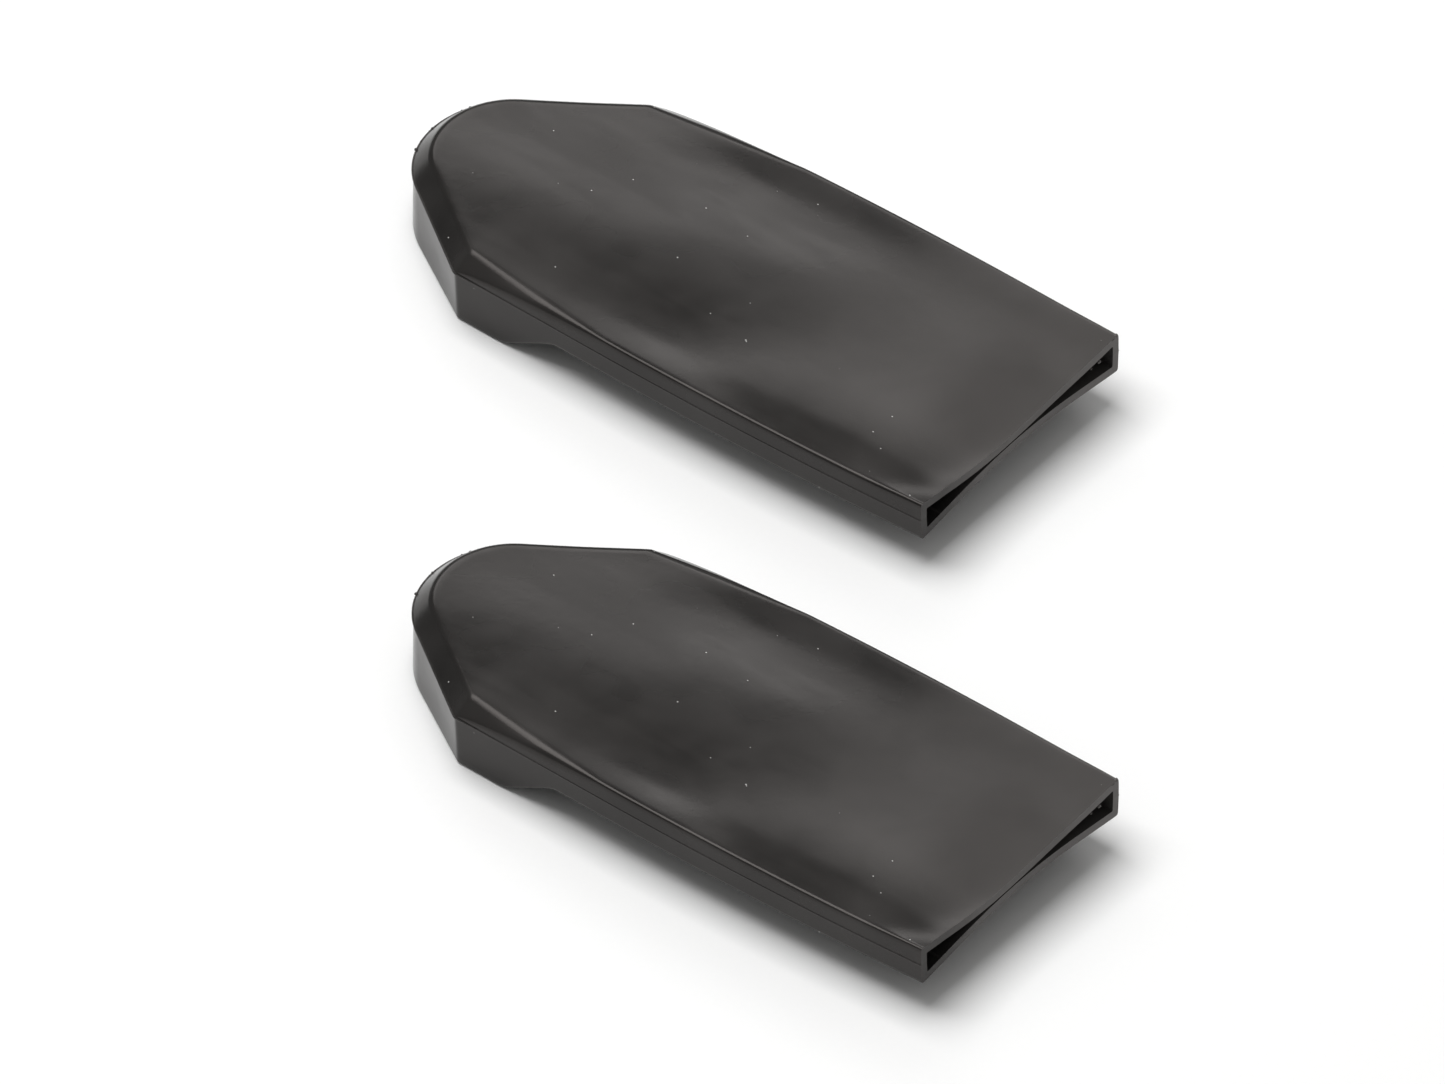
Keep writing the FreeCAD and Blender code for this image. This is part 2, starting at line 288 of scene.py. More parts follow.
def fading(distance, reach):
    """1 at no distance, fading out round about the reach."""
    return np.exp(-((distance / reach) ** 2))


LEAST_FOOT = 0.17 * MM  # the facet ends this far over the parting line at the nose
EDGE_BITE = 0.8 * MM  # how much of a wide facet the rounding of each of its edges takes
WIDE_FACET = 2.4 * MM  # a facet of this width has two edges of its own
LIP_HALF = 0.15 * MM  # half the height of the parting lip
LIP_LEAST = 0.10 * MM  # how far the lip stands out along the sides
LIP_FADE = 4 * MM  # how soon past the shoulder it falls back towards that
# the lip's own section, as shares of its reach and of its half height
LIP_SECTION = ((0, 1), (0.8, 0.9), (1, 0.4), (1, -0.4), (0.8, -0.9), (0, -1))


def facet_crease(sizes, nose, along, top):
    """How far in the facet's upper edge lies: its full width at the nose, nothing at the run-out."""
    facet = sizes.facet * (top / sizes.cover)
    corner_x = facet * math.tan(sizes.nose_angle / 2)
    corner_y = sizes.half_width - facet
    reach = np.clip((along - corner_x) / (sizes.runout - corner_x), 0, 1)
    crease_y = corner_y + reach * (sizes.half_width + sizes.flare - corner_y)
    crease = np.where(nose, facet, np.maximum(side_half_width(sizes, along) - crease_y, 0))
    return np.where(along >= sizes.runout, 0, crease)


def top_edge_rows(sizes, core, nose, along, top):
    """The facet with its rounded edges, from the top face down to the parting lip.

    It is one soft round where the facet has run out, and two small ones where it is wide.
    """
    to_runout = np.clip(along / sizes.runout, 0, 1)
    crease = facet_crease(sizes, nose, along, top)
    foot = np.maximum(top * to_runout**0.5, LEAST_FOOT)
    tight = sizes.edge_round * (0.45 if core else 1)
    outer = np.where(nose, 0.55 * tight, 0.55 * tight + 0.45 * tight * to_runout)
    drop = np.minimum(tight, (foot - LIP_HALF) * 0.6)
    start = (crease + outer, np.full_like(foot, top))
    first = (crease, np.full_like(foot, top))
    second = (np.zeros_like(foot), foot)
    finish = (np.zeros_like(foot), foot - drop)
    width = np.hypot(crease, top - foot)
    bite = np.minimum(0.45, EDGE_BITE / np.maximum(width, 1e-6))
    near_first = between(first, second, bite)
    near_second = between(second, first, bite)
    two = smooth(np.clip(width / WIDE_FACET, 0, 1))

    rows = []
    for step in np.linspace(0, 1, 13):
        soft = bezier([start, first, second, finish], step)
        if step <= 0.5:
            crisp = bezier([start, first, near_first], step * 2 / 0.84) if step < 0.42 else near_first
        else:
            crisp = bezier([near_second, second, finish], (step - 0.5) * 2)
        rows.append(tuple(s + (c - s) * two for s, c in zip(soft, crisp)))
    return rows


def lip_rows(sizes, core, nose, along):
    """The parting lip, proudest round the nose. The inner skin has none."""
    along_side = LIP_LEAST + (sizes.lip - LIP_LEAST) * np.exp(-along / LIP_FADE)
    proud = np.where(nose, sizes.lip, along_side) * (0 if core else 1)
    return [(-proud * out, np.full_like(proud, LIP_HALF * up)) for out, up in LIP_SECTION]


def wall_rows(sizes, core, depth):
    """The wall below the lip, and the rounded edge at its foot."""
    lean = math.tan(sizes.draft)
    round_off = sizes.foot_round * (0.5 if core else 1)
    rows = []
    for step in (0.2, 0.45, 0.7, 0.9):
        z = LIP_HALF + (depth - round_off - LIP_HALF) * step
        rows.append((z * lean, -z))
    knee = [
        ((depth - round_off) * lean, -(depth - round_off)),
        (depth * lean, -depth),
        (depth * lean + round_off, -depth),
    ]
    return rows + [bezier(knee, step) for step in (0, 0.25, 0.5, 0.75, 1)]


def section_sheet(sizes, core):
    """Rows of points over one guard from the top's middle, round the edge, to the underside's.

    core is 0 for the outer skin and the wall thickness for the inner one.
    """
    kinds, values = column_stations(sizes)
    nose = (kinds >= 1) & (kinds <= 3)
    along = np.where(nose, 0, values)
    top = sizes.cover - core
    depth = np.where(nose, sizes.head, underside(sizes, along)) - core
    rows = top_edge_rows(sizes, core, nose, along, top)
    rows += lip_rows(sizes, core, nose, along)
    rows += wall_rows(sizes, core, depth)

    points = []
    for inset, z in rows:
        x, y = plan_points(sizes, kinds, values, inset + core, sizes.nose_angle, sizes.nose_radius)
        low = np.clip(-z / sizes.head, 0, 1)
        sole_x, sole_y = plan_points(
            sizes, kinds, values, inset + core, sizes.sole_angle, sizes.sole_radius
        )
        sole_x, sole_y = np.where(nose, sole_x, x), np.where(nose, sole_y, y)
        points.append(np.stack([x + (sole_x - x) * low, y + (sole_y - y) * low, z], -1))

    # the top face and the underside, each drawn in to the guard's middle line
    middle = np.stack([along, np.zeros_like(along), np.full_like(along, top)], -1)
    below = middle.copy()
    below[:, 2] = -depth
    inward = np.linspace(0, 1, 24)[:-1, None, None]
    upper = middle[None] + (points[0] - middle)[None] * inward
    lower = points[-1][None] + (below - points[-1])[None] * np.linspace(0, 1, 16)[1:, None, None]
    flat = np.where(nose[None, :], sizes.head, underside(sizes, lower[..., 0])) - core
    lower[..., 2] = -flat
    sheet = np.concatenate([upper, np.stack(points), lower])
    return round_shoulders(sheet, kinds)


def round_shoulders(sheet, kinds):
    """Eases the sharp shoulder corners, leaving everything else where it is."""
    for corner in (np.argmax(kinds == 1), len(kinds) - np.argmax(kinds[::-1] == 3) - 1):
        low, high = corner - 6, corner + 7
        for _ in range(5):
            ring = sheet[:, low : high + 1]
            sheet[:, low + 1 : high] = ring[:, 1:-1] * 0.5 + (ring[:, :-2] + ring[:, 2:]) * 0.25
    return sheet


# ------------------------------------------------------------------------------- use and wear of the form
SAG_LEAN = 0.35  # how strongly the sunken top is drawn over to the near side
ARCH_POWER = 1.15  # how narrow the bottom's arch is
CORNER_POWER = 8  # how close to the sides the mouth's raised corners keep
LIFT_REACH = 9 * MM  # and how far back from the mouth they do
CALM_EDGE = 8 * MM  # width of the band along each side where the swellings die away
ARCH_FROM, ARCH_OVER = 22 * MM, 20 * MM  # the bottom bends only from the end of the ramp on
# low swellings of the top face in four lanes along it, by their distance from the shoulder (mm)
SWELL_LANES = (-20.0, -7.0, 7.0, 20.0)
SWELL_LONG = 15.0 * MM
SWELL_WIDE = 11.0 * MM
SWELLS = [
    (-10.0, (0.05, 0.25, 0.05, -0.2)),
    (8.0, (0.0, 0.3, 0.15, 0.15)),
    (26.0, (-0.05, 0.45, 0.4, -0.25)),
    (44.0, (-0.4, 0.3, 0.25, -0.2)),
    (62.0, (0.3, -0.05, 0.05, -0.05)),
    (80.0, (0.25, 0.15, 0.1, -0.05)),
    (98.0, (0.5, 0.25, 0.05, -0.2)),
]


def soften(sizes, place):
    """Bends the moulded form as the soft rubber has: a pinched, slanted mouth and shallow swells."""
    x, y, z = place[..., 0], place[..., 1], place[..., 2]
    half = np.maximum(side_half_width(sizes, np.clip(x, 0, None)), sizes.half_width)
    across = np.clip((y + half) / (2 * half), 0, 1)
    from_mouth = np.clip(sizes.body - x, 0, None)
    fade = fading(from_mouth, sizes.sag_reach)
    sag = sizes.sag * np.sin(math.pi * across ** (1 - SAG_LEAN * fade)) ** 2
    arch = sizes.arch * np.sin(math.pi * across) ** ARCH_POWER
    corner = np.abs(2 * across - 1) ** CORNER_POWER
    lift = sizes.lift * corner * fading(from_mouth, LIFT_REACH)
    edge = smooth(np.clip((half - np.abs(y)) / CALM_EDGE, 0, 1))
    swell = sum(
        height * np.exp(-(((x - along * MM) / SWELL_LONG) ** 2) - ((y - across_at * MM) / SWELL_WIDE) ** 2)
        for along, heights in SWELLS
        for across_at, height in zip(SWELL_LANES, heights)
    )
    above = np.clip(z / (sizes.cover - sizes.wall), 0, 1)
    below = np.clip(-z / (sizes.belly - sizes.wall), 0, 1)
    below = below * np.clip((x - ARCH_FROM) / ARCH_OVER, 0, 1)
    place[..., 2] += above * (lift - sag * fade + edge * swell * MM) + below * arch * fade
    place[..., 0] += sizes.slant * (1 - across) * np.clip(x / sizes.body, 0, 1) ** 2
    return place


# ------------------------------------------------------------------------------- modelling helpers
def clear_selection():
    if bpy.context.object and bpy.context.object.mode != "OBJECT":
        bpy.ops.object.mode_set(mode="OBJECT")
    bpy.ops.object.select_all(action="DESELECT")


def pick(*objects):
    clear_selection()
    for item in objects:
        item.select_set(True)
    bpy.context.view_layer.objects.active = objects[0]


def wrap_grid(name, sheet, inside_out=False):
    """A grid primitive with each of its points moved to its place in the sheet."""
    rows, columns = sheet.shape[:2]
    clear_selection()
    bpy.ops.mesh.primitive_grid_add(x_subdivisions=columns - 1, y_subdivisions=rows - 1, size=2)
    grid = bpy.context.object
    grid.name = grid.data.name = name
    flat = np.empty(rows * columns * 3)
    grid.data.vertices.foreach_get("co", flat)
    flat = flat.reshape(-1, 3)  # the primitive's points, which run from -1 to 1 both ways
    column = np.rint((flat[:, 0] + 1) / 2 * (columns - 1)).astype(int)
    row = np.rint((flat[:, 1] + 1) / 2 * (rows - 1)).astype(int)
    grid.data.vertices.foreach_set("co", sheet[row, column].astype(np.float32).ravel())
    # at the mouth each point keeps its row and which end of the row it is, and 0 elsewhere
    ends = grid.data.attributes.new("mouth_row", "INT", "POINT")
    at_mouth = (column == 0) | (column == columns - 1)
    code = np.where(at_mouth, 1 + row * 2 + (column > 0), 0)
    ends.data.foreach_set("value", code.astype(np.int32))
    if inside_out:
        bpy.ops.object.mode_set(mode="EDIT")
        bpy.ops.mesh.select_all(action="SELECT")
        bpy.ops.mesh.flip_normals()
        bpy.ops.object.mode_set(mode="OBJECT")
    return grid


def close_mouth_rim(guard):
    """Faces between the outer and inner skins at the mouth, row by row."""
    mesh = bmesh.new()
    mesh.from_mesh(guard.data)
    code = mesh.verts.layers.int["mouth_row"]
    part = mesh.verts.layers.int["skin"]
    found = {}
    for vertex in mesh.verts:
        if vertex[code]:
            found[(vertex[part], vertex[code])] = vertex
    top_row = max(key for _, key in found) // 2
    for end in (0, 1):
        for row in range(top_row):
            here, after = 1 + row * 2 + end, 3 + row * 2 + end
            if (0, after) not in found or (1, after) not in found:
                continue
            ring = [found[(0, here)], found[(0, after)], found[(1, after)], found[(1, here)]]
            face = mesh.faces.new(ring if end == 0 else ring[::-1])
            face.material_index = 1
            face.smooth = True
    mesh.to_mesh(guard.data)
    mesh.free()


def mark_skin(piece, value):
    layer = piece.data.attributes.new("skin", "INT", "POINT")
    layer.data.foreach_set("value", np.full(len(piece.data.vertices), value, np.int32))


def keep_place(piece):
    """Stores each point's place in its guard's own frame, which the patterns read."""
    flat = np.empty(len(piece.data.vertices) * 3, np.float32)
    piece.data.vertices.foreach_get("co", flat)
    layer = piece.data.attributes.new(PLACE, "FLOAT_VECTOR", "POINT")
    layer.data.foreach_set("vector", flat)


def guard_origin(sizes, node):
    """Where a guard's own frame sits: its shoulder line, middle and parting line."""
    low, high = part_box(node)
    return Vector((high.x - sizes.body, (low.y + high.y) / 2, low.z + sizes.head))


# ------------------------------------------------------------------------------- material groups
class Nodes:
    """Small helper that adds and links nodes in a tree."""

    def __init__(self, tree):
        self.tree = tree

    def add(self, kind, links=None, **values):
        node = self.tree.nodes.new(kind)
        for key, value in values.items():
            setattr(node, key, value)
        for socket, source in (links or {}).items():
            target = node.inputs[socket]
            if isinstance(source, bpy.types.NodeSocket):
                self.tree.links.new(source, target)
            else:
                target.default_value = source
        return node

    def math(self, operation, first, second=0.0, clamp=False):
        return self.add(
            "ShaderNodeMath", {0: first, 1: second}, operation=operation, use_clamp=clamp
        ).outputs[0]

    def spread(self, value, low, high, to_low=0.0, to_high=1.0):
        return self.add(
            "ShaderNodeMapRange",
            {"Value": value, "From Min": low, "From Max": high, "To Min": to_low, "To Max": to_high},
            interpolation_type="SMOOTHSTEP",
        ).outputs["Result"]

    def mix(self, factor, first, second):
        """A colour between two; the node's sockets 6 and 7 are its two colours, and 2 the result."""
        links = {"Factor": factor, 6: first, 7: second}
        return self.add("ShaderNodeMix", links, data_type="RGBA").outputs[2]

    def stretch(self, vector, factors):
        return self.add(
            "ShaderNodeVectorMath", {0: vector, 1: factors}, operation="MULTIPLY"
        ).outputs["Vector"]

    def noise(self, vector, scale, detail=4.0, roughness=0.5, distortion=0.0):
        return self.add(
            "ShaderNodeTexNoise",
            {
                "Vector": vector,
                "Scale": scale,
                "Detail": detail,
                "Roughness": roughness,
                "Distortion": distortion,
            },
        ).outputs["Fac"]


def new_group(name, inputs, outputs):
    group = bpy.data.node_groups.new(name, "ShaderNodeTree")
    for label, kind, value in inputs:
        socket = group.interface.new_socket(label, in_out="INPUT", socket_type=kind)
        if value is not None:
            socket.default_value = value
    for label, kind in outputs:
        group.interface.new_socket(label, in_out="OUTPUT", socket_type=kind)
    nodes = Nodes(group)
    return group, nodes, nodes.add("NodeGroupInput"), nodes.add("NodeGroupOutput")


def skin_grain_group():
    """Fine moulded grain with faint flow marks along the guard."""
    group, n, taken, given = new_group(
        "skin_grain",
        [("Place", "NodeSocketVector", None), ("Strength", "NodeSocketFloat", 1.0)],
        [("Height", "NodeSocketFloat"), ("Mask", "NodeSocketFloat")],
    )
    place = taken.outputs["Place"]
    stretched = n.stretch(place, (0.25, 1.0, 1.0))
    fine = n.noise(place, 1900.0, 3.0)
    pebble = n.noise(place, 620.0, 2.0)
    flow = n.noise(stretched, 130.0, 4.0, 0.6, 0.4)
    total = n.math("ADD", n.math("MULTIPLY", fine, 0.25), n.math("MULTIPLY", pebble, 0.35))
    total = n.math("ADD", total, n.math("MULTIPLY", flow, 0.4))
    n.tree.links.new(n.math("MULTIPLY", total, taken.outputs["Strength"]), given.inputs["Height"])
    n.tree.links.new(n.spread(flow, 0.3, 0.7), given.inputs["Mask"])
    return group


# the skin has dulled most where fingers hold the mouth, by places in the guard's own frame; there it also
# takes the lighter bloom colour, partly a painted reflection
HANDLED_FROM, HANDLED_FULL = 48 * MM, 100 * MM
CORNER_CLEAN, CORNER_HANDLED = -23 * MM, -10 * MM
CLOUD_SHARE, HANDLED_SHARE = 0.2, 0.75  # how much the clouds and the handling each dull it and mix in the lighter bloom colour, partly a painted reflection


def handling_and_reflection_clouds_group():
    """Broad soft clouds where the skin has bloomed or been rubbed; where they lighten its colour they are
    partly a painted reflection of the studio lights.
    """
    group, n, taken, given = new_group(
        "handling_and_reflection_clouds",
        [("Place", "NodeSocketVector", None), ("Cloud Size", "NodeSocketFloat", 0.03)],
        [("Mask", "NodeSocketFloat"), ("Smear", "NodeSocketFloat")],
    )
    scale = n.math("DIVIDE", 1.0, taken.outputs["Cloud Size"])
    clouds = n.noise(taken.outputs["Place"], scale, 3.0, 0.45, 0.6)
    smears = n.noise(taken.outputs["Place"], n.math("MULTIPLY", scale, 3.0), 1.0, 0.5, 0.3)
    where = n.add("ShaderNodeSeparateXYZ", {"Vector": taken.outputs["Place"]}).outputs
    by_mouth = n.spread(where["X"], HANDLED_FROM, HANDLED_FULL)
    off_corner = n.spread(where["Y"], CORNER_CLEAN, CORNER_HANDLED)
    handled = n.math("MULTIPLY", by_mouth, off_corner)
    cloudy = n.math("MULTIPLY", n.spread(clouds, 0.3, 0.72), CLOUD_SHARE)
    total = n.math("ADD", cloudy, n.math("MULTIPLY", handled, HANDLED_SHARE), clamp=True)
    n.tree.links.new(total, given.inputs["Mask"])
    n.tree.links.new(n.spread(smears, 0.35, 0.75), given.inputs["Smear"])
    return group


def lint_group():
    """Specks of lint and dust, a few large and many small."""
    group, n, taken, given = new_group(
        "lint_specks",
        [("Place", "NodeSocketVector", None), ("Amount", "NodeSocketFloat", 1.0)],
        [("Mask", "NodeSocketFloat")],
    )
    warped = n.stretch(taken.outputs["Place"], (1.0, 1.35, 1.0))
    masks = []
    for scale, radius, share in ((75.0, 0.020, 0.045), (230.0, 0.045, 0.035), (520.0, 0.09, 0.03)):
        cell = n.add(
            "ShaderNodeTexVoronoi", {"Vector": warped, "Scale": scale, "Randomness": 1.0}
        )
        speck = n.spread(cell.outputs["Distance"], radius, radius * 0.45)
        parts = n.add("ShaderNodeSeparateColor", {"Color": cell.outputs["Color"]})
        limit = n.math("MULTIPLY", taken.outputs["Amount"], share)
        chosen = n.math("LESS_THAN", parts.outputs[0], limit)
        masks.append(n.math("MULTIPLY", speck, chosen))
    total = n.math("MAXIMUM", n.math("MAXIMUM", masks[0], masks[1]), masks[2])
    n.tree.links.new(total, given.inputs["Mask"])
    return group


def scratches_group():
    """Faint short scratches in three leanings."""
    group, n, taken, given = new_group(
        "faint_scratches",
        [("Place", "NodeSocketVector", None), ("Scale", "NodeSocketFloat", 30.0)],
        [("Mask", "NodeSocketFloat")],
    )
    masks = []
    for turn, seed in ((0.5, 0.0), (-1.1, 4.0), (1.4, 9.0)):
        turned = n.add(
            "ShaderNodeMapping",
            {
                "Vector": taken.outputs["Place"],
                "Location": (seed, seed, 0.0),
                "Rotation": (0.0, 0.0, turn),
                "Scale": (0.22, 3.4, 1.0),
            },
        ).outputs["Vector"]
        cell = n.add(
            "ShaderNodeTexVoronoi",
            {"Vector": turned, "Scale": taken.outputs["Scale"], "Randomness": 1.0},
            feature="F1",
        )
        line = n.spread(cell.outputs["Distance"], 0.11, 0.04)
        parts = n.add("ShaderNodeSeparateColor", {"Color": cell.outputs["Color"]})
        chosen = n.math("LESS_THAN", parts.outputs[1], 0.05)
        masks.append(n.math("MULTIPLY", line, chosen))
    total = n.math("MAXIMUM", n.math("MAXIMUM", masks[0], masks[1]), masks[2])
    n.tree.links.new(total, given.inputs["Mask"])
    return group


def place_group(n, name, links):
    return n.add("ShaderNodeGroup", links, node_tree=bpy.data.node_groups[name]).outputs


CLOUD_SIZE = 0.034  # metres
SCRATCH_SCALE = 34.0
# handling dulls the skin by this much at most, so that it stays semi-gloss everywhere
DULLEST = 0.096
# how much each kind of mark adds to the roughness
GRAIN_ROUGH, SMEAR_ROUGH, CLOUD_ROUGH, SCRATCH_ROUGH, LINT_ROUGH = 0.03, 0.03, 0.16, 0.15, 0.5
SCRATCH_PALE = 2.2  # a scratch's colour over the lighter bloom colour's, which is partly a painted reflection
BUMP_STRENGTH, BUMP_DEPTH = 0.16, 0.00012
RUBBER_IOR = 1.36


def rubber_material(name, look, grain, lint, roughness, bloom_and_reflection_share, shade):
    """Moulded black rubber; the arguments set how coarse, dusty and dull this part of it is, and how much
    of the lighter bloom colour, partly a painted reflection, it takes.
    """
    material = bpy.data.materials.new(name)
    material.use_nodes = True
    material.node_tree.nodes.clear()
    n = Nodes(material.node_tree)
    place = n.add("ShaderNodeAttribute", attribute_name=PLACE).outputs["Vector"]
    skin = place_group(n, "skin_grain", {"Place": place, "Strength": grain})
    clouds = place_group(n, "handling_and_reflection_clouds", {"Place": place, "Cloud Size": CLOUD_SIZE})
    specks = place_group(n, "lint_specks", {"Place": place, "Amount": lint})
    marks = place_group(n, "faint_scratches", {"Place": place, "Scale": SCRATCH_SCALE})

    # painted reflection: the lighter bloom colour, mixed in by the clouds and towards the mouth, is partly
    # the rubber's dull bloom and partly a painted reflection of the studio lights
    bloom_and_reflection_mask = n.math("MULTIPLY", clouds["Mask"], bloom_and_reflection_share)
    bloom_and_reflection_mask = n.math("ADD", bloom_and_reflection_mask, n.math("MULTIPLY", clouds["Smear"], 0.1 * bloom_and_reflection_share), clamp=True)
    clean = tuple(channel * shade for channel in look.colour)
    scratch = tuple(channel * SCRATCH_PALE for channel in look.bloom_and_painted_reflection)
    colour = n.mix(bloom_and_reflection_mask, (*clean, 1), (*look.bloom_and_painted_reflection, 1))
    colour = n.mix(n.math("MULTIPLY", marks["Mask"], 0.15), colour, (*scratch, 1))
    colour = n.mix(specks["Mask"], colour, (*look.lint, 1))

    rough = n.spread(skin["Mask"], 0.0, 1.0, roughness - GRAIN_ROUGH, roughness + GRAIN_ROUGH)
    rough = n.math("ADD", rough, n.math("MULTIPLY", clouds["Smear"], SMEAR_ROUGH))
    rough = n.math("ADD", rough, n.math("MULTIPLY", clouds["Mask"], CLOUD_ROUGH))
    rough = n.math("MINIMUM", rough, roughness + DULLEST)
    rough = n.math("ADD", rough, n.math("MULTIPLY", marks["Mask"], SCRATCH_ROUGH))
    rough = n.math("ADD", rough, n.math("MULTIPLY", specks["Mask"], LINT_ROUGH), clamp=True)

    # specks stand proud of the grain, and scratches are cut into it
    height = n.math("ADD", skin["Height"], n.math("MULTIPLY", specks["Mask"], 1.5))
    height = n.math("SUBTRACT", height, n.math("MULTIPLY", marks["Mask"], 0.6))
    bump = n.add(
        "ShaderNodeBump", {"Height": height, "Strength": BUMP_STRENGTH, "Distance": BUMP_DEPTH}
    )
    shader = n.add(
        "ShaderNodeBsdfPrincipled",
        {
            "Base Color": colour,
            "Roughness": rough,
            "Normal": bump.outputs["Normal"],
            "IOR": RUBBER_IOR,
            "Specular IOR Level": 0.5,
            "Specular Tint": (*look.sheen, 1),
        },
    )
    output = n.add("ShaderNodeOutputMaterial")
    n.tree.links.new(shader.outputs["BSDF"], output.inputs["Surface"])
    return material


def rubber_materials(look):
    """Skin, cut rim and mould flash, made once and shared."""
    if "moulded_skin" not in bpy.data.materials:
        skin_grain_group()
        handling_and_reflection_clouds_group()
        lint_group()
        scratches_group()
        clean = look.roughness
        rubber_material(
            "moulded_skin", look, grain=1.0, lint=2.0, roughness=clean, bloom_and_reflection_share=0.55, shade=1.0
        )
        rubber_material(
            "cut_rim", look, grain=2.2, lint=0.8, roughness=clean + 0.2, bloom_and_reflection_share=0.9, shade=1.6
        )
        rubber_material(
            "mould_flash", look, grain=2.5, lint=0.0, roughness=clean + 0.15, bloom_and_reflection_share=1.0, shade=2.4
        )
    return [bpy.data.materials[name] for name in ("moulded_skin", "cut_rim", "mould_flash")]


# ------------------------------------------------------------------------------- operators
MERGE_WITHIN = 1e-6
SHARP_FROM = math.radians(38)  # edges that turn more than this are shaded sharp


def build_guard(body, node):
    """One guard: an outer and an inner skin, closed along the rim of the mouth."""
    sizes, look, _ = settings()
    origin = guard_origin(sizes, node)
    outer = wrap_grid(f"{node}_skin", soften(sizes, section_sheet(sizes, 0.0)))
    mark_skin(outer, 0)
    inner = wrap_grid(f"{node}_core", soften(sizes, section_sheet(sizes, sizes.wall)), True)
    mark_skin(inner, 1)
    for material in rubber_materials(look):
        outer.data.materials.append(material)
        inner.data.materials.append(material)
    pick(outer, inner)
    bpy.ops.object.join()
    close_mouth_rim(outer)

    bpy.ops.object.mode_set(mode="EDIT")
    bpy.ops.mesh.select_all(action="SELECT")
    bpy.ops.mesh.remove_doubles(threshold=MERGE_WITHIN)
    bpy.ops.mesh.normals_make_consistent(inside=False)
    bpy.ops.object.mode_set(mode="OBJECT")
    for layer in ("mouth_row", "skin"):
        outer.data.attributes.remove(outer.data.attributes[layer])
    bpy.ops.object.shade_smooth_by_angle(angle=SHARP_FROM)
    keep_place(outer)
    outer.data.transform(Matrix.Translation(origin))
    outer.name = outer.data.name = f"{body}_guard_rubber"
    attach(outer, body)
    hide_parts(node)
    return outer


FLASH_FROM = -9 * MM  # crumbs lie on the nose from here over to the far side
RAGGED = 0.5  # how uneven a crumb is


def build_flash(body, node):
    """Crumbs of flash along the parting lip of the nose, and torn tags round the mouth."""
    sizes, look, studio = settings()
    origin = guard_origin(sizes, node)
    kinds, values = column_stations(sizes)
    x, y = plan_points(sizes, kinds, values, -sizes.lip * 0.6, sizes.nose_angle, sizes.nose_radius)
    chance = random.Random(7)
    on_nose = [i for i in range(len(kinds)) if 1 <= kinds[i] <= 3 and y[i] > FLASH_FROM]
    crumbs = []
    for _ in range(studio.flakes):
        index = on_nose[int(chance.random() * len(on_nose))]
        size = chance.uniform(0.10, 0.26) * MM
        spot = (x[index], y[index], chance.uniform(-0.12, 0.18) * MM)
        crumbs.append((spot, size, (chance.uniform(0.7, 1.6), chance.uniform(0.7, 1.6), 0.6)))
    far_y = sizes.half_width + sizes.mouth_flare
    # each tag's place, size and stretch along the three axes
    tags = [
        ((sizes.body - 0.3 * MM, far_y - 0.5 * MM, sizes.cover + 0.1 * MM), 0.36 * MM, (1.3, 1.5, 0.7)),
        ((sizes.body - 0.1 * MM, far_y - 1.5 * MM, sizes.cover), 0.28 * MM, (1.0, 1.8, 0.6)),
        ((sizes.body, far_y * 0.81, sizes.cover - 2.5 * MM), 0.30 * MM, (0.7, 1.6, 0.9)),
        ((sizes.body - 0.2 * MM, far_y * 0.74, sizes.cover - 2.9 * MM), 0.22 * MM, (0.8, 1.2, 0.9)),
        ((sizes.body, -far_y * 0.52, sizes.cover - 2.5 * MM), 0.2 * MM, (0.8, 1.3, 0.8)),
    ]
    pieces = []
    for spot, size, stretch in crumbs + tags:
        clear_selection()
        bpy.ops.mesh.primitive_ico_sphere_add(subdivisions=2, radius=size)
        crumb = bpy.context.object
        for vertex in crumb.data.vertices:
            rough = 1 + RAGGED * noise.noise(Vector(vertex.co) * 7000 + Vector(spot) * 3000)
            vertex.co = Vector(vertex.co[axis] * stretch[axis] * rough for axis in range(3))
        crumb.data.transform(Matrix.Translation(Vector(spot)))
        pieces.append(crumb)
    pick(*pieces)
    bpy.ops.object.join()
    flash = bpy.context.object
    flash.data.materials.clear()
    flash.data.materials.append(rubber_materials(look)[2])
    bpy.ops.object.shade_smooth()
    keep_place(flash)
    flash.data.transform(Matrix.Translation(origin))
    flash.name = flash.data.name = f"{body}_guard_flash"
    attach(flash, body)
    return flash


class GUARD_OT_add_guards(bpy.types.Operator):
    """Adds both guards' rubber bodies in place of the plain ones"""

    bl_idname = "guards.add_guards"
    bl_label = "Add guards"

    def execute(self, context):
        for body, node in GUARDS.items():
            build_guard(body, node)
        return {"FINISHED"}


class GUARD_OT_add_flash(bpy.types.Operator):
    """Adds the crumbs and tags of mould flash on both guards"""

    bl_idname = "guards.add_flash"
    bl_label = "Add mould flash"

    def execute(self, context):
        for body, node in GUARDS.items():
            build_flash(body, node)
        return {"FINISHED"}


class GUARD_OT_add_studio(bpy.types.Operator):
    """Adds the floor, the lights and the camera"""

    bl_idname = "guards.add_studio"
    bl_label = "Add studio"

    def execute(self, context):
        build_floor()
        build_sky()
        build_lamps()
        build_camera()
        return {"FINISHED"}


FLOOR_GAP = 0.05 * MM
CAMERA_DISTANCE = 1.5  # metres
# how far right of and above the shoulders' common middle the camera looks, in metres
AIM = (0.02917, -0.02265)


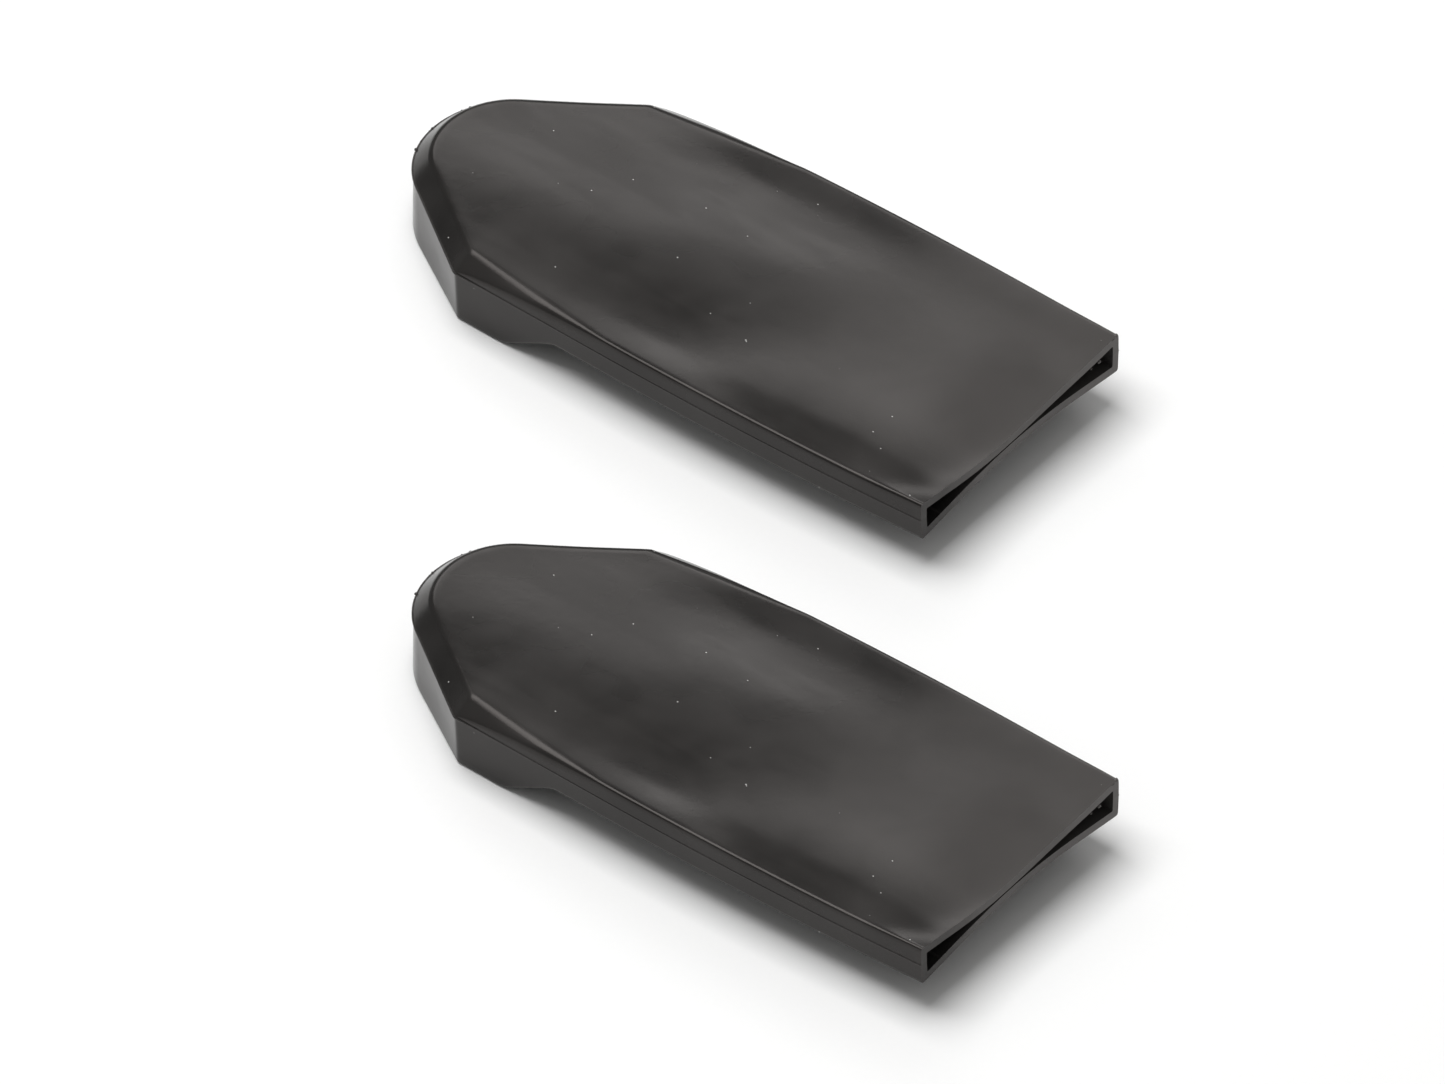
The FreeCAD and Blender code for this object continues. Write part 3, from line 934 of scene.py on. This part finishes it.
def build_floor():
    _, _, studio = settings()
    clear_selection()
    bpy.ops.mesh.primitive_grid_add(x_subdivisions=8, y_subdivisions=8, size=studio.floor_size)
    floor = bpy.context.object
    floor.name = floor.data.name = "studio_floor"
    floor.location.z = CAD_BOX[0][2] - FLOOR_GAP
    bpy.ops.object.transform_apply(location=True, rotation=True, scale=True)
    material = bpy.data.materials.new("floor_paper")
    material.use_nodes = True
    n = Nodes(material.node_tree)
    shader = material.node_tree.nodes["Principled BSDF"]
    place = n.add("ShaderNodeTexCoord").outputs["Object"]
    fibre = n.noise(place, 900.0, 4.0)
    tone = n.mix(fibre, (0.93, 0.93, 0.93, 1), (0.95, 0.95, 0.95, 1))
    n.tree.links.new(tone, shader.inputs["Base Color"])
    shader.inputs["Roughness"].default_value = 0.8
    floor.data.materials.append(material)
    return floor


def build_sky():
    """Dim white surroundings that brighten towards the top."""
    world = bpy.data.worlds.new("studio_room")
    bpy.context.scene.world = world
    world.use_nodes = True
    n = Nodes(world.node_tree)
    background = world.node_tree.nodes["Background"]
    place = n.add("ShaderNodeTexCoord").outputs["Generated"]
    height = n.add("ShaderNodeSeparateXYZ", {"Vector": place}).outputs["Z"]
    glow = n.spread(height, 0.0, 1.0, 0.25, 0.38)
    white = n.add("ShaderNodeCombineColor", {0: glow, 1: glow, 2: n.math("MULTIPLY", glow, 0.985)})
    n.tree.links.new(white.outputs["Color"], background.inputs["Color"])
    background.inputs["Strength"].default_value = 1.0


def soft_panel(name, towards, distance, size, energy):
    """A soft rectangular light at a distance in a direction, facing the pair."""
    direction = Vector(towards).normalized()
    clear_selection()
    bpy.ops.object.light_add(type="AREA", location=direction * distance)
    lamp = bpy.context.object
    lamp.name = lamp.data.name = name
    lamp.data.shape = "RECTANGLE"
    lamp.data.size, lamp.data.size_y = size
    lamp.data.energy = energy
    lamp.rotation_euler = direction.to_track_quat("Z", "Y").to_euler()
    return lamp


def camera_direction(studio):
    """From the pair towards the camera."""
    flat = math.cos(studio.elevation)
    return Vector(
        (math.sin(studio.azimuth) * flat, -math.cos(studio.azimuth) * flat, math.sin(studio.elevation))
    )


def build_lamps():
    soft_panel("overhead_panel", (-0.3, -0.05, 1.0), 2.2, (1.7, 1.7), 43.0)
    soft_panel("back_panel", (-0.474, 0.587, 0.528), 2.4, (1.7, 0.40), 6.0)


def build_camera():
    _, _, studio = settings()
    back = camera_direction(studio)
    data = bpy.data.cameras.new("studio_camera")
    camera = bpy.data.objects.new("studio_camera", data)
    bpy.context.scene.collection.objects.link(camera)
    data.type = "ORTHO"
    data.ortho_scale = studio.picture_width
    camera.rotation_mode = "QUATERNION"
    camera.rotation_quaternion = back.to_track_quat("Z", "Y")
    camera.location = picture_centre(studio) + back * CAMERA_DISTANCE
    bpy.context.scene.camera = camera


def picture_centre(studio):
    """The point of the pair that the middle of the picture looks at."""
    sizes = bpy.context.scene.guard_sizes
    origins = [guard_origin(sizes, node) for node in GUARDS.values()]
    middle = (origins[0] + origins[1]) / 2
    right = Vector((math.cos(studio.azimuth), math.sin(studio.azimuth), 0))
    up = camera_direction(studio).cross(right)
    return middle + right * AIM[0] + up * AIM[1]


# ------------------------------------------------------------------------------- panel and start
class GUARD_PT_pieces(bpy.types.Panel):
    """Buttons for each group of pieces"""

    bl_idname = "GUARD_PT_pieces"
    bl_label = "Blade guards"
    bl_space_type = "VIEW_3D"
    bl_region_type = "UI"
    bl_category = "Blade guards"

    def draw(self, context):
        for operator in (GUARD_OT_add_guards, GUARD_OT_add_flash, GUARD_OT_add_studio):
            self.layout.operator(operator.bl_idname)


CLASSES = (
    GuardSizes,
    RubberLook,
    StudioSettings,
    GUARD_OT_add_guards,
    GUARD_OT_add_flash,
    GUARD_OT_add_studio,
    GUARD_PT_pieces,
)


def register():
    for item in CLASSES:
        bpy.utils.register_class(item)
    bpy.types.Scene.guard_sizes = PointerProperty(type=GuardSizes)
    bpy.types.Scene.rubber_look = PointerProperty(type=RubberLook)
    bpy.types.Scene.guard_studio = PointerProperty(type=StudioSettings)


def unregister():
    del bpy.types.Scene.guard_studio
    del bpy.types.Scene.rubber_look
    del bpy.types.Scene.guard_sizes
    for item in reversed(CLASSES):
        bpy.utils.unregister_class(item)


def main():
    register()
    bpy.context.scene.view_settings.view_transform = "Standard"
    bpy.ops.guards.add_guards()
    bpy.ops.guards.add_flash()
    bpy.ops.guards.add_studio()
    bpy.context.view_layer.update()


if __name__ == "__main__":
    main()
